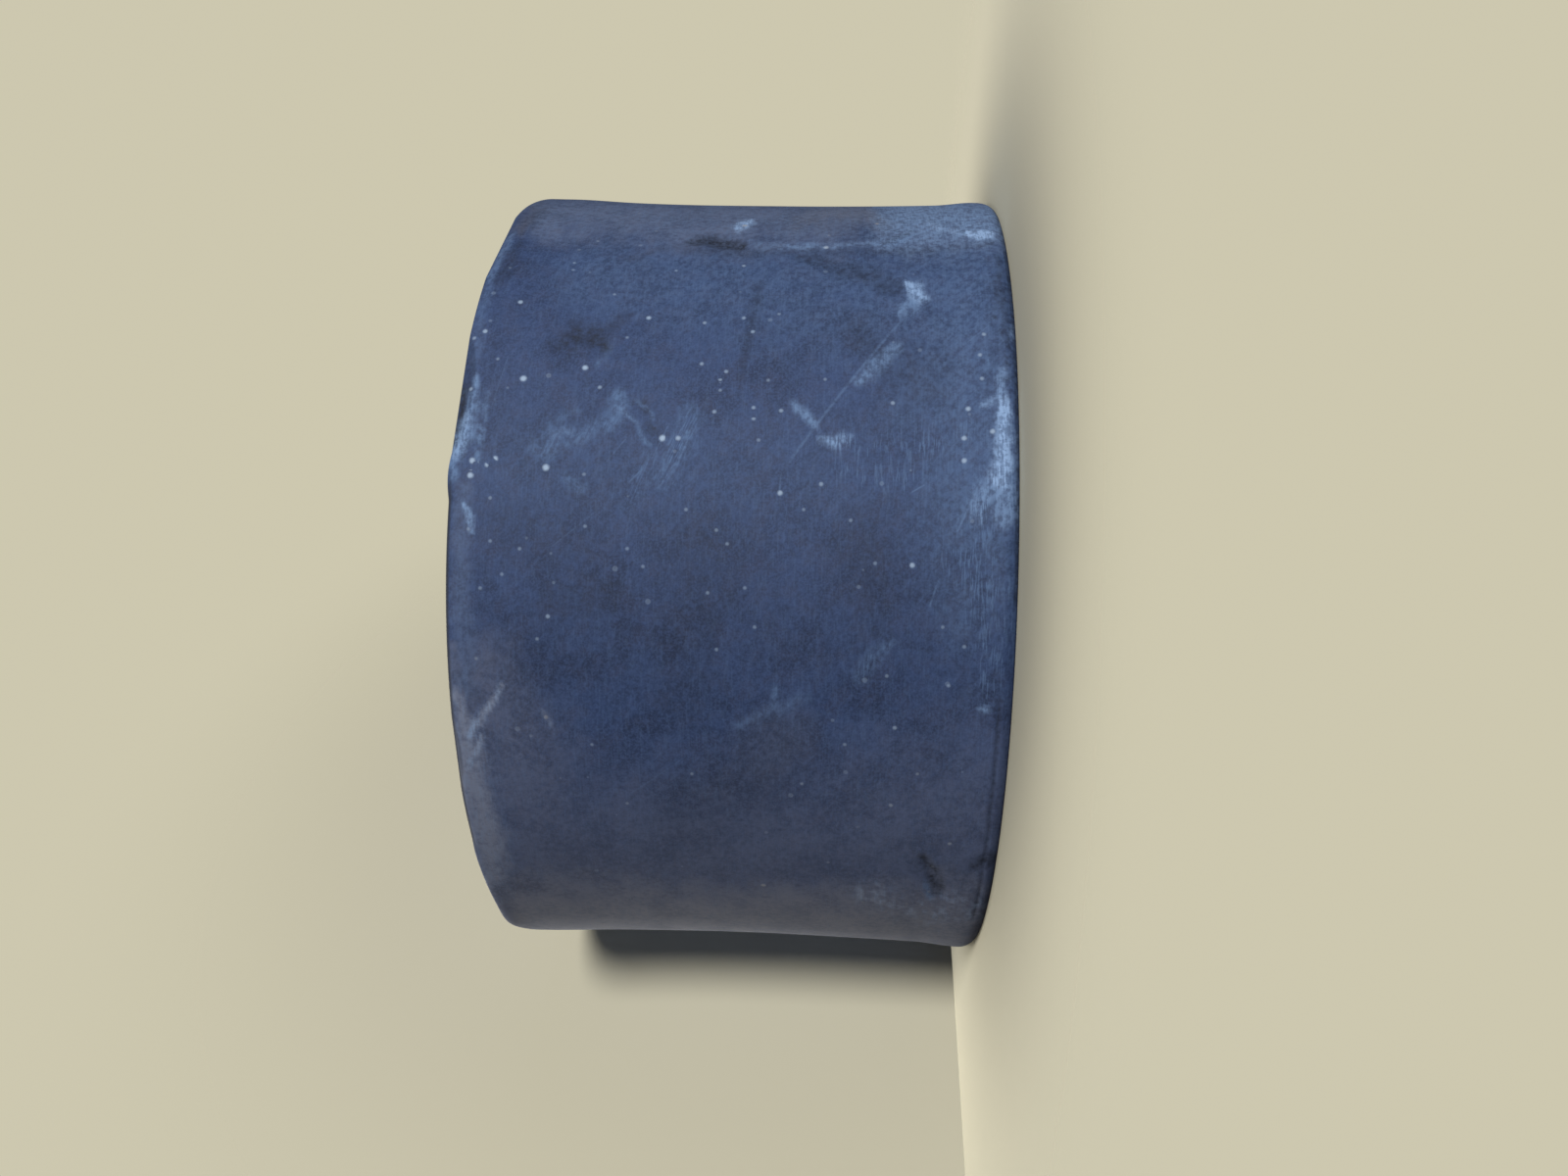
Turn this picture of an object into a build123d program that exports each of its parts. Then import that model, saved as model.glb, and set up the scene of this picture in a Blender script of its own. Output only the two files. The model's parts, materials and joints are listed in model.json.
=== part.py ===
from build123d import *
from math import cos, radians, sin, sqrt
import os

# Rubber foot: one block of black rubber, moulded solid. It is a short cylinder that draws in a
# little at the waist and flares out to a rim at each end. It stands on its base end.
# The frame has its origin at the centre of the base face, with +Z up the axis.

# Driving dimensions, in millimetres
rim_diameter = 44.4  # across the crest of either rim, the widest part of the foot
height = 25.6  # from the base face to the top face
waist_depth = 0.11  # how far the middle of the side lies inside the inner ends of the flares

# Base end, as it came from the mould
base_flare_height = 3.2  # where the base flare begins, above the base face
base_flare_depth = 0.19  # how far the side lies inside the rim there
base_round_height = 0.7  # of the rim's crest above the base face
base_round_inset = 0.3  # how far the edge of the base face lies inside the crest

# Top end
top_flare_height = 5.5  # where the top flare begins, below the top face
top_flare_depth = 0.21  # how far the side lies inside the rim there
top_round_height = 0.5  # of the rim's crest below the top face
top_round_inset = 0.12  # how far the edge of the top face lies inside the crest

# Moulding flash was sliced off the top rim by hand, in short flat strokes of a knife. Each stroke
# has its direction in degrees about +Z from +X, how deep it goes across the top face from the
# crest's radius, and how far down the crest it runs.
trim_strokes = (
    (-42.0, 0.36, 0.62),
    (-69.0, 0.35, 0.72),
    (-114.0, 0.26, 0.45),
)

# A flap of rubber stands up on the top rim, where the knife left the longest stroke
burr_direction = -79.8  # degrees about +Z from +X, to the middle of the flap
burr_length = 2.4  # along the rim
burr_height = 0.11  # above the top face
burr_thickness = 0.4  # across the rim
burr_setback = 0.05  # of its outer side from the edge of the top face
burr_root = 0.3  # of it sunk in the top face

rim_radius = rim_diameter / 2
base_edge_radius = rim_radius - base_round_inset
top_edge_radius = rim_radius - top_round_inset
waist_radius = rim_radius - (base_flare_depth + top_flare_depth) / 2 - waist_depth
waist_height = (base_flare_height + height - top_flare_height) / 2

with BuildPart() as rubber_foot:
    # Half of the section, turned about the axis
    with BuildSketch(Plane.XZ):
        with BuildLine():
            waist = ThreePointArc(
                (rim_radius - base_flare_depth, base_flare_height),
                (waist_radius, waist_height),
                (rim_radius - top_flare_depth, height - top_flare_height),
            )
            base_flare = TangentArc(waist @ 0, (rim_radius, base_round_height), tangent=(waist % 0) * -1)
            base_round = TangentArc(base_flare @ 1, (base_edge_radius, 0), tangent=(0, -1))
            top_flare = TangentArc(waist @ 1, (rim_radius, height - top_round_height), tangent=waist % 1)
            top_round = TangentArc(top_flare @ 1, (top_edge_radius, height), tangent=(0, 1))
            Polyline(base_round @ 1, (0, 0), (0, height), top_round @ 1)
        make_face()
    revolve(axis=Axis.Z)

    # The trimmed edge: each stroke takes a flat facet off the corner of the top rim
    for direction, inset, drop in trim_strokes:
        outward = Vector(cos(radians(direction)), sin(radians(direction)), 0)
        across = Plane(origin=(0, 0, 0), x_dir=outward, z_dir=outward.cross(Vector(0, 0, 1)))
        with BuildSketch(across):
            with BuildLine():
                Polyline(
                    (rim_radius - 2 * inset, height + drop),
                    (rim_radius + inset, height - 2 * drop),
                    (rim_radius + inset, height + drop),
                    close=True,
                )
            make_face()
        extrude(amount=sqrt(2 * rim_radius * inset), both=True, mode=Mode.SUBTRACT)

    # The flap, a low hump that follows the edge of the top face
    outward = Vector(cos(radians(burr_direction)), sin(radians(burr_direction)), 0)
    burr_foot = outward * (top_edge_radius - burr_setback) + Vector(0, 0, height)
    with BuildSketch(Plane(origin=burr_foot, x_dir=Vector(0, 0, 1).cross(outward), z_dir=outward)):
        with BuildLine():
            hump = ThreePointArc((-burr_length / 2, 0), (0, burr_height), (burr_length / 2, 0))
            Polyline(hump @ 1, (burr_length / 2, -burr_root), (-burr_length / 2, -burr_root), hump @ 0)
        make_face()
    extrude(amount=-burr_thickness)

rubber_foot.part.label = "rubber_foot"

os.makedirs("parts", exist_ok=True)
export_step(rubber_foot.part, "parts/rubber_foot.step")
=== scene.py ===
import json
import math
import bpy
import numpy as np
from mathutils import Matrix, Vector, noise


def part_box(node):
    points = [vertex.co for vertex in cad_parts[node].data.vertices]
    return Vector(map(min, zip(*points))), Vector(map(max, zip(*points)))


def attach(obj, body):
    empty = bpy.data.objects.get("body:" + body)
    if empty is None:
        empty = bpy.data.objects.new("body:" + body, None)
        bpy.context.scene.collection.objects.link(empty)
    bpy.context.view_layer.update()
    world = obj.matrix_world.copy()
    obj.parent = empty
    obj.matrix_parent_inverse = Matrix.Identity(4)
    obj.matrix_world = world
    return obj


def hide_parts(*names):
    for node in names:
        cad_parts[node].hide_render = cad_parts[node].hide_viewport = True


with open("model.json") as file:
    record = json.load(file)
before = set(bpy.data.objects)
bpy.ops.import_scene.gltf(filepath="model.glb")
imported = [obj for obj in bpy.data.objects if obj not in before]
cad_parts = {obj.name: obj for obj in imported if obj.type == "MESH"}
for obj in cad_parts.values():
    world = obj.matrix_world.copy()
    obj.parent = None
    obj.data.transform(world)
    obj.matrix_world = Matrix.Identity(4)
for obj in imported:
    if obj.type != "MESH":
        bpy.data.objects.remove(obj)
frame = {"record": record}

mm = 0.001
noiseSeed = 3
noise.seed_set(noiseSeed)  # or else the noise is another one on each run
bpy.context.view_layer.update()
low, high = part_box("rubber_foot")
rimRadius = (high.x - low.x) / 2 / mm
topHeight = next(m["pos_m"][2] for m in frame["record"]["mounts"] if m["name"] == "top_face") / mm
print("frame loaded: rim radius", round(rimRadius, 2), "mm, height", round(topHeight, 2), "mm")


def addObject(name, data):
    made = bpy.data.objects.new(name, data)
    bpy.context.scene.collection.objects.link(made)
    return made


# The camera stands where the photograph was taken from: level with the foot's base, rolled so that
# the foot's axis runs across the picture with the base at the right. Its place is in millimetres.
cameraSettings = {
    "frameWidth": 1600,
    "frameHeight": 1200,
    "sensorWidth": 36.0,
    "lens": 27.29,
    "place": (-0.08, -74.7, 7.53),
    "looksAlong": (-0.0128, 0.9985, 0.0528),
    "upwards": (0.9996, 0.0115, 0.0256),
    "nearest": 1.0,
    "farthest": 20000.0,
}


def makeCamera(s):
    camera = addObject("photoCamera", bpy.data.cameras.new("photoCamera"))
    bpy.context.scene.camera = camera
    camera.data.sensor_fit = "HORIZONTAL"
    camera.data.sensor_width = s["sensorWidth"]
    camera.data.lens = s["lens"]
    camera.data.clip_start = s["nearest"] * mm
    camera.data.clip_end = s["farthest"] * mm
    forward = Vector(s["looksAlong"]).normalized()
    right = forward.cross(Vector(s["upwards"])).normalized()
    up = right.cross(forward)
    turn = Matrix((right, up, -forward)).transposed()
    camera.matrix_world = Matrix.Translation(Vector(s["place"]) * mm) @ turn.to_4x4()
    return np.array(s["place"]), np.array([right, -up, forward])


eye, photoAxes = makeCamera(cameraSettings)
focalPixels = cameraSettings["lens"] / cameraSettings["sensorWidth"] * cameraSettings["frameWidth"]
middle = np.array([cameraSettings["frameWidth"], cameraSettings["frameHeight"]]) / 2


def toPhoto(points):  # millimetres in the foot's frame to pixels of the photograph
    seen = (points - eye) @ photoAxes.T
    return seen[:, :2] / seen[:, 2:] * focalPixels + middle


print("camera placed")


# The foot's skin: the same section as the solid, on a mesh fine enough to hold its marks. Angles go
# round from the front line, upwards in the photograph, and the photographed side has close columns.
# A round is its height and inset, and a flare is its length and how deep the side lies at its end.
skinSettings = {
    "frontHalfAngle": 80.0,
    "frontStep": 0.4,
    "backStep": 2.6,
    "rowStep": 0.162,
    "edgeStep": 0.08,
    "edgeBand": 1.04,
    "faceRings": (0.05, 0.25, 0.45, 0.52, 1.0, 2.5, 4.5, 8.0, 12.5, 17.5),
    "baseRound": (0.7, 0.3),
    "topRound": (0.5, 0.12),
    "baseFlare": (3.2, 0.19),
    "topFlare": (5.5, 0.21),
    "flareSlope": 0.03,
    "waist": 0.31,
    "unevenness": 0.03,
    "unevenSize": 7.0,
    "unevenSeed": 1.3,
    "unevenShift": 0.3,
    "evenEnds": 2.0,
    "fadeCosines": (0.13, 0.33),
    "fadeRagged": 0.06,
    "fadeSize": 3.0,
    "fadeSeed": 6.1,
}

# Flat knife strokes on the top rim: angle, depth across the top face, depth down the side, and how
# black the rubber is there
knifeStrokes = {
    "old bevel": (48.0, 0.36, 0.62, 0.1),
    "fresh slice": (21.0, 0.33, 0.72, 0.3),
    "thin slice": (-24.0, 0.21, 0.42, 0.5),
}
strokeSettings = {"reachCosine": 0.8, "blackDepth": 0.04}

# Places where the rim or side stands out or lies back: angle, height, half size round and up, depth
swells = {
    "low corner": (-61.0, 25.5, 6.0, 0.8, 0.22),
    "high corner": (70.0, 24.7, 7.0, 1.2, -0.04),
    "base corner": (68.0, 0.6, 12.0, 0.6, -0.06),
    "top face side": (3.0, 25.3, 14.0, 1.0, 0.03),
    "mould flash": (29.0, 0.25, 9.0, 0.4, 0.06),
}

# The narrow black chamfer of the trimmed edge, the shallow groove that leaves a lip at the base,
# darkened with painted shade, and the dark edge of the base, painted shade where the base round
# turns from the light. Angles are where each starts and ends.
trimSettings = {"angles": (-39.0, 9.0), "tall": 0.22, "slope": 0.6, "black": 0.85}
grooveSettings = {"angles": (-52.0, -14.0), "height": 0.62, "halfWidth": 0.1, "depth": 0.05, "shade": 0.7}
baseEdgeSettings = {"angles": (-4.0, 74.0), "height": 0.26, "shade": 0.75}

flapSettings = {  # rubber left standing on the top rim beside the longest stroke
    "angle": 10.2,
    "halfLength": 1.2,
    "tall": 0.11,
    "outer": 0.04,
    "inner": 0.46,
}


def sideRadius(z, s):  # radius of the plain section at a height, before any cut or dent
    roundHeight, roundInset = s["baseRound"]
    topRoundHeight, topRoundInset = s["topRound"]
    baseFlareEnd, topFlareEnd = s["baseFlare"][0], topHeight - s["topFlare"][0]
    knots = [
        (roundHeight, 0.0, 0.0),
        (baseFlareEnd, s["baseFlare"][1], s["flareSlope"]),
        ((baseFlareEnd + topFlareEnd) / 2, s["waist"], 0.0),
        (topFlareEnd, s["topFlare"][1], -s["flareSlope"]),
        (topHeight - topRoundHeight, 0.0, 0.0),
    ]
    depth = np.zeros_like(z)
    for (z0, d0, m0), (z1, d1, m1) in zip(knots, knots[1:]):  # a smooth curve through the knots
        span = z1 - z0
        t = np.clip((z - z0) / span, 0, 1)
        curve = d0 * (2 * t ** 3 - 3 * t ** 2 + 1) + d1 * (3 * t ** 2 - 2 * t ** 3)
        curve += span * (m0 * (t ** 3 - 2 * t ** 2 + t) + m1 * (t ** 3 - t ** 2))
        depth = np.where((z >= z0) & (z <= z1), curve, depth)
    for edge, tall, inset in ((0, roundHeight, roundInset), (topHeight, topRoundHeight, topRoundInset)):
        reach = (inset ** 2 + tall ** 2) / (2 * inset)
        beyond = np.clip(tall - np.abs(z - edge), 0, tall)
        depth = np.where(beyond > 0, reach - np.sqrt(reach ** 2 - beyond ** 2), depth)
    return rimRadius - depth


def toSkin(pixel):  # a pixel of the photograph to millimetres up round the rim and up the axis
    ray = np.append((np.array(pixel) - middle) / focalPixels, 1.0) @ photoAxes
    a = ray[0] ** 2 + ray[1] ** 2
    b = eye[0] * ray[0] + eye[1] * ray[1]
    radius = rimRadius
    for attempt in range(3):  # each nearer to the drawn-in side
        c = eye[0] ** 2 + eye[1] ** 2 - radius ** 2
        point = eye + ray * (-b - math.sqrt(max(b * b - a * c, 0))) / a
        radius = sideRadius(point[2:], skinSettings)[0]
    return math.atan2(point[0], -point[1]) * rimRadius, point[2]


def noiseField(points, size, seed):  # three smooth random numbers, -1 to 1, for each point
    scaled = np.asarray(points) / size + seed
    return np.array([noise.noise_vector(Vector(p)) for p in scaled.tolist()])


def smooth(t):
    t = np.clip(t, 0, 1)
    return t * t * (3 - 2 * t)


def between(angle, span, soft=4.0):  # 1 inside a span of angles, in degrees, and 0 outside it
    turned = np.degrees(angle)
    return smooth((turned - span[0]) / soft + 0.5) * smooth((span[1] - turned) / soft + 0.5)


# Marks on the photographed side, each along a path of photograph pixels with half its width there.
# Haze is a soft pale smear, chalk is bright dust, film is grey dust, shade is bare dark rubber, hatch
# is fine lines round the foot, hair is fine brushed lines, wrinkle is crumpled skin, dots breaks a
# mark into spots, and dent is a depth in millimetres. Some marks use haze, chalk and film for painted
# light as well, as said at each. A mark is at full strength up to its core and ends at its soft,
# both in half widths.
marks = {
    # A paler grey band above the crease, lighter along the top edge also as a painted sheen
    "top band": {"path": ((560, 220), (700, 224), (860, 224)), "width": (24, 30, 30),
                 "haze": 0.36, "film": 0.55},
    # Pale dust at the top of the base end, made brighter still as a painted highlight where light falls from
    # that end
    "top highlight and dust, base end": {"path": ((925, 222), (970, 222), (1016, 226)), "width": (36, 30, 30),
                           "haze": 0.95, "film": 0.4, "chalk": 0.3},
    "top dab": {"path": ((753, 231), (767, 229)), "width": (4, 4), "haze": 1.0, "chalk": 0.9},
    "bronzed patch": {"path": ((815, 224), (860, 218), (905, 228)), "width": (12, 15, 12),
                      "film": 0.9, "shade": 0.25},
    # Painted light: the upper side and a band across the middle made lighter, where the light falls
    "painted light, upper side": {"path": ((600, 280), (760, 285), (960, 300)), "width": (40, 70, 80), "haze": 0.3},
    "painted light, middle band": {"path": ((520, 470), (760, 480), (1000, 470)), "width": (50, 64, 60), "haze": 0.1},
    "bronzed corner": {"path": ((530, 232), (548, 215)), "width": (9, 12), "film": 0.6, "shade": 0.45},
    "old bevel sheen": {"path": ((521, 240), (512, 258), (501, 284)), "width": (5, 7, 5), "haze": 0.7},
    "old bevel, low": {"path": ((501, 284), (490, 330), (482, 372)), "width": (6, 7, 6), "haze": 0.3},
    "bevel foot": {"path": ((530, 250), (522, 268), (510, 290)), "width": (6, 7, 6), "shade": 0.45},
    "slit": {"path": ((706, 244), (730, 246), (758, 248)), "width": (4, 8, 5), "shade": 1.1, "dent": 0.14},
    "crease start": {"path": ((640, 264), (670, 255), (704, 248)), "width": (3, 3, 3),
                     "shade": 0.3, "dent": 0.02},
    "crease": {"path": ((700, 254), (768, 257), (920, 256), (1015, 248)), "width": (5, 5, 5, 4),
               "dent": 0.03, "shade": 0.35},
    "crease dust": {"path": ((764, 246), (782, 253), (800, 250)), "width": (6, 7, 4),
                    "haze": 0.6, "film": 0.4},
    "crease dots": {"path": ((796, 252), (830, 251), (880, 250), (920, 245)), "width": (3, 4, 3, 4),
                    "haze": 1.0, "film": 0.4, "chalk": 0.15, "dots": 0.45},
    "crease end": {"path": ((908, 250), (928, 242)), "width": (6, 7), "haze": 1.0, "chalk": 0.1},
    "crease crack": {"path": ((904, 248), (932, 236)), "width": (2, 2), "shade": 0.6},
    "short streak": {"path": ((946, 225), (957, 233)), "width": (3, 5), "haze": 1.0, "chalk": 0.7},
    "streak tail": {"path": ((957, 233), (985, 238)), "width": (3, 3.5), "haze": 1.0, "chalk": 0.5},
    "bright streak": {"path": ((986, 238), (998, 239), (1011, 239)), "width": (4, 6, 5),
                      "haze": 1.0, "chalk": 1.5, "soft": 1.4},
    "crescent": {"path": ((812, 262), (845, 267), (885, 280), (914, 294)), "width": (4, 9, 10, 9),
                 "shade": 0.5, "dent": 0.06, "core": 0.3},
    # Painted highlight along the lower lip of the crescent dent
    "crescent edge highlight": {"path": ((815, 276), (850, 285), (888, 298), (912, 306)), "width": (2, 3, 3, 2),
                      "haze": 0.35},
    "smooth field": {"path": ((790, 330), (850, 310)), "width": (46, 40), "haze": 0.16},
    "bright smudge": {"path": ((926, 291), (936, 297), (941, 303)), "width": (4, 8, 7),
                      "haze": 1.0, "chalk": 0.9},
    "smudge foot": {"path": ((938, 302), (930, 310), (922, 317)), "width": (9, 11, 8),
                    "haze": 1.0, "chalk": 0.15},
    "smudge tail": {"path": ((926, 318), (912, 338)), "width": (5, 3), "haze": 0.4, "hair": 0.6},
    "long smear": {"path": ((914, 354), (900, 366), (888, 380), (876, 388)), "width": (7, 11, 9, 5),
                   "haze": 1.1, "chalk": 0.14, "hair": 0.25},
    "base dark field": {"path": ((880, 345), (940, 385)), "width": (26, 34), "shade": 0.36},
    "base lower light": {"path": ((950, 448), (985, 440)), "width": (20, 18), "haze": 0.3, "hatch": 0.6},
    "seam line": {"path": ((776, 290), (768, 320), (760, 365), (754, 402)), "width": (6, 6, 5, 4),
                  "shade": 0.42, "dent": 0.02},
    "rough patch": {"path": ((576, 350), (588, 340), (604, 344), (614, 356)), "width": (12, 16, 15, 9),
                    "shade": 0.95, "dent": 0.06, "wrinkle": 0.5},
    "rough patch tail": {"path": ((640, 322), (622, 338), (612, 350)), "width": (6, 8, 8), "shade": 0.4},
    "rough patch edge": {"path": ((622, 354), (617, 366), (606, 374)), "width": (2.5, 3, 2.5),
                         "haze": 0.6, "dots": 0.6},
    "wide smear": {"path": ((552, 458), (566, 448), (584, 446), (604, 436), (622, 428)),
                   "width": (12, 15, 12, 12, 10), "haze": 0.72, "hair": 0.5},
    "wide smear, upper": {"path": ((622, 430), (634, 414), (632, 404)), "width": (9, 10, 7), "haze": 0.85},
    "smear fork": {"path": ((566, 440), (576, 424), (590, 418)), "width": (5, 5, 4), "haze": 0.4},
    "smear spots": {"path": ((562, 444), (580, 440)), "width": (3, 5), "haze": 0.9, "chalk": 0.12},
    "smear tip": {"path": ((634, 418), (644, 428), (652, 432)), "width": (4, 2, 2),
                  "haze": 0.9, "chalk": 0.1},
    "wrinkles": {"path": ((650, 412), (668, 424), (668, 446)), "width": (6, 8, 7),
                 "shade": 0.6, "dent": 0.05, "wrinkle": 1.0},
    "wrinkle ridge": {"path": ((648, 408), (664, 420), (666, 428)), "width": (2, 2, 2), "haze": 0.8},
    "wrinkle ridge, low": {"path": ((652, 434), (656, 448), (662, 453)), "width": (2, 3, 3), "haze": 0.9},
    "small smear": {"path": ((578, 488), (592, 498)), "width": (8, 8), "haze": 0.5},
    "brushed patch": {"path": ((704, 425), (696, 445), (686, 462)), "width": (13, 14, 13),
                      "haze": 0.8, "hair": 1.0},
    "brushed patch, low": {"path": ((690, 460), (676, 492)), "width": (14, 12), "haze": 0.65, "hair": 1.0},
    "brushed wisps": {"path": ((664, 470), (640, 512)), "width": (12, 9), "haze": 0.5, "hair": 1.0},
    "left smudge": {"path": ((810, 412), (820, 422), (831, 433)), "width": (4, 6, 5),
                    "haze": 1.0, "chalk": 0.2},
    "hatched smudge": {"path": ((837, 448), (850, 450), (863, 448)), "width": (5, 7, 6),
                       "haze": 1.0, "chalk": 0.5, "hatch": 0.6},
    "hatched field": {"path": ((856, 452), (900, 460), (950, 455)), "width": (16, 22, 22),
                      "hatch": 1.0, "haze": 0.2},
    "hatched field, low": {"path": ((856, 480), (930, 490)), "width": (16, 20), "hatch": 0.9, "haze": 0.16},
    "base smear": {"path": ((938, 456), (962, 448), (984, 434)), "width": (10, 12, 8),
                   "haze": 0.5, "hatch": 0.5},
    "edge glow": {"path": ((1022, 382), (1025, 430), (1025, 470), (1026, 530)), "width": (6, 11, 15, 11),
                  "haze": 1.0, "chalk": 0.35, "hatch": 0.5},
    "edge glow, bright": {"path": ((1026, 410), (1025, 450), (1021, 490)), "width": (7, 11, 10),
                          "chalk": 1.3, "hatch": 0.3},
    "base rim mottle": {"path": ((1020, 285), (1028, 335), (1030, 385)), "width": (10, 11, 7),
                        "shade": 0.6, "dots": 0.8},
    "edge arm": {"path": ((1004, 414), (1020, 404)), "width": (4, 5), "haze": 1.0, "chalk": 0.4},
    "edge fan": {"path": ((1018, 484), (1006, 502), (998, 524)), "width": (9, 12, 9),
                 "haze": 1.0, "chalk": 0.3, "hatch": 0.6},
    "edge fan, foot": {"path": ((1004, 516), (1006, 546), (996, 560)), "width": (12, 12, 9),
                       "haze": 0.7, "hatch": 0.9},
    "fan line": {"path": ((1006, 474), (990, 504), (976, 538)), "width": (3, 3, 2), "haze": 0.8},
    # Painted light: the side lighter towards the base end, as if lit from that end
    "painted light, base side": {"path": ((985, 260), (985, 400), (1005, 620)), "width": (70, 80, 50), "haze": 0.44},
    "base rim band": {"path": ((1030, 262), (1035, 330), (1038, 420)), "width": (6, 6, 5), "haze": 0.4},
    "base rim line": {"path": ((1018, 262), (1024, 310), (1028, 350)), "width": (3, 4, 3), "shade": 0.5},
    "base rim flecks": {"path": ((1012, 322), (1018, 334), (1022, 348)), "width": (3, 3, 3),
                        "haze": 0.8, "dots": 1.0},
    "base rim fleck": {"path": ((1033, 334), (1032, 346)), "width": (2.5, 3), "haze": 1.0, "chalk": 0.15},
    "base rim smear": {"path": ((1009, 362), (1006, 378)), "width": (4, 4), "haze": 0.8},
    "right hatching": {"path": ((985, 575), (1008, 600), (1010, 700)), "width": (28, 26, 20),
                       "hatch": 1.0, "haze": 0.16},
    "slice shade": {"path": ((473, 396), (468, 425), (462, 452)), "width": (5, 5, 4), "shade": 1.0},
    "rim patch": {"path": ((487, 384), (482, 410), (477, 440)), "width": (4, 7, 11),
                  "haze": 0.95, "chalk": 0.2},
    "rim patch, bright": {"path": ((477, 422), (473, 442), (467, 458)), "width": (6, 9, 9),
                          "haze": 1.0, "chalk": 0.75},
    "flap": {"path": ((466, 458), (461, 470), (464, 486)), "width": (6, 7, 6), "haze": 1.0, "chalk": 0.1},
    "rim patch streak": {"path": ((497, 400), (494, 430), (486, 466)), "width": (2.5, 3, 5),
                         "haze": 1.0, "chalk": 0.1, "dots": 0.8},
    "rim dash": {"path": ((474, 514), (480, 526), (480, 543)), "width": (3, 4.5, 3.5),
                 "haze": 1.0, "chalk": 0.6, "soft": 1.4},
    "rim dust": {"path": ((474, 500), (468, 560), (470, 620), (478, 700)), "width": (9, 10, 10, 12),
                 "haze": 0.25, "film": 0.2},
    "edge dash": {"path": ((470, 405), (474, 397)), "width": (2, 2.5), "haze": 0.9},
    "middle shade": {"path": ((566, 616), (594, 620), (616, 604)), "width": (30, 34, 26), "shade": 0.45},
    # These four darken broad areas of the middle and lower side
    "left shade": {"path": ((530, 540), (580, 560)), "width": (40, 50), "shade": 0.28},
    "lower shade": {"path": ((540, 660), (720, 640), (980, 660)), "width": (60, 100, 70), "shade": 0.22},
    "centre shade": {"path": ((720, 570), (700, 690)), "width": (60, 60), "shade": 0.36},
    "right shade": {"path": ((880, 560), (890, 640)), "width": (38, 46), "shade": 0.36},
    "low shade": {"path": ((700, 830), (770, 800), (800, 760)), "width": (44, 50, 40),
                  "shade": 0.3, "film": 0.3},
    "low smear": {"path": ((908, 656), (894, 668), (876, 690)), "width": (5, 9, 8),
                  "haze": 0.75, "hatch": 0.6, "hair": 0.8},
    "lower smear": {"path": ((822, 712), (796, 724), (752, 742)), "width": (6, 7, 5),
                    "haze": 0.42, "hatch": 0.4},
    "lower stroke": {"path": ((790, 702), (788, 722)), "width": (3, 3), "haze": 0.85},
    "left streak": {"path": ((513, 700), (498, 722), (486, 742)), "width": (3, 4, 5),
                    "film": 1.4, "chalk": 0.35},
    "left streak, bright": {"path": ((486, 738), (480, 752)), "width": (4, 5), "film": 1.4, "chalk": 0.5},
    "left streak, low": {"path": ((494, 752), (479, 784)), "width": (3, 5), "film": 1.4, "chalk": 0.35},
    "left curl": {"path": ((554, 726), (559, 733), (562, 742)), "width": (3, 3, 2),
                  "haze": 0.4, "film": 0.8},
    "left rim film, upper": {"path": ((463, 660), (468, 700)), "width": (5, 10), "film": 0.5, "soft": 2.4},
    "left rim film": {"path": ((467, 712), (480, 790), (504, 895)), "width": (9, 16, 14),
                      "film": 1.4, "haze": 0.14, "chalk": 0.1, "soft": 2.2},
    "left film": {"path": ((492, 680), (530, 800), (560, 900)), "width": (22, 50, 60),
                  "film": 0.45, "soft": 2.4},
    # Greyer and paler towards the bottom
    "lower greyness": {"path": ((500, 880), (750, 875), (1000, 850)), "width": (90, 70, 90),
                       "film": 0.4, "soft": 2.0},
    # Grey film along the bottom, lighter also as painted light reflected up from the floor below
    "low film and reflected light": {"path": ((540, 928), (700, 936), (990, 942)), "width": (32, 30, 34),
                 "film": 1.2, "soft": 2.2},
    "dab": {"path": ((1001, 724), (1007, 723)), "width": (3, 4.5), "haze": 1.0, "chalk": 0.3, "soft": 1.4},
    "upper dab": {"path": ((1003, 654), (1007, 668)), "width": (4, 5), "haze": 0.8, "hatch": 0.5},
    "middle dab": {"path": ((1004, 690), (1010, 700)), "width": (5, 5), "haze": 0.5, "hatch": 0.5},
    "gouge": {"path": ((943, 877), (952, 890), (958, 906)), "width": (5, 9, 7), "shade": 1.2, "dent": 0.12},
    "gouge field": {"path": ((952, 888), (986, 902)), "width": (14, 16),
                    "shade": 0.18, "film": 0.6, "dent": 0.04, "wrinkle": 0.6},
    "gouge corner": {"path": ((996, 886), (1014, 880)), "width": (8, 9), "shade": 0.9, "dent": 0.04},
    "gouge edge": {"path": ((944, 898), (949, 914)), "width": (2.5, 4), "haze": 0.8, "film": 0.4},
    "low grit": {"path": ((880, 912), (935, 930), (994, 926)), "width": (13, 15, 14),
                 "film": 1.4, "chalk": 0.3, "dots": 1.0},
}

# How a mark's edge wanders: patch size in pixels, seed and share of each noise, then how far it goes
# as a share of the half width, and at most in pixels
paintSettings = {
    "layers": ("haze", "chalk", "shade", "hatch", "hair", "film", "wrinkle", "dent"),
    "wander": ((22.0, 3.7, 1.0), (8.0, 9.1, 0.6)),
    "ragged": 0.6,
    "raggedMost": 12.0,
    "spotSize": 6.0,
    "spotSeed": 5.3,
    "spotEdge": (-0.05, 0.25),
    "soft": 1.6,
}


def nearness(pixels, path, widths):  # 0 on the path, 1 at the mark's half width
    nearest = np.full(len(pixels), np.inf)
    for a, b, wa, wb in zip(path, path[1:], widths, widths[1:]):
        a, b = np.array(a, float), np.array(b, float)
        t = np.clip((pixels - a) @ (b - a) / ((b - a) @ (b - a)), 0, 1)
        away = np.linalg.norm(pixels - a - t[:, None] * (b - a), axis=1)
        nearest = np.minimum(nearest, away / (wa + t * (wb - wa)))
    return nearest


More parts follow.
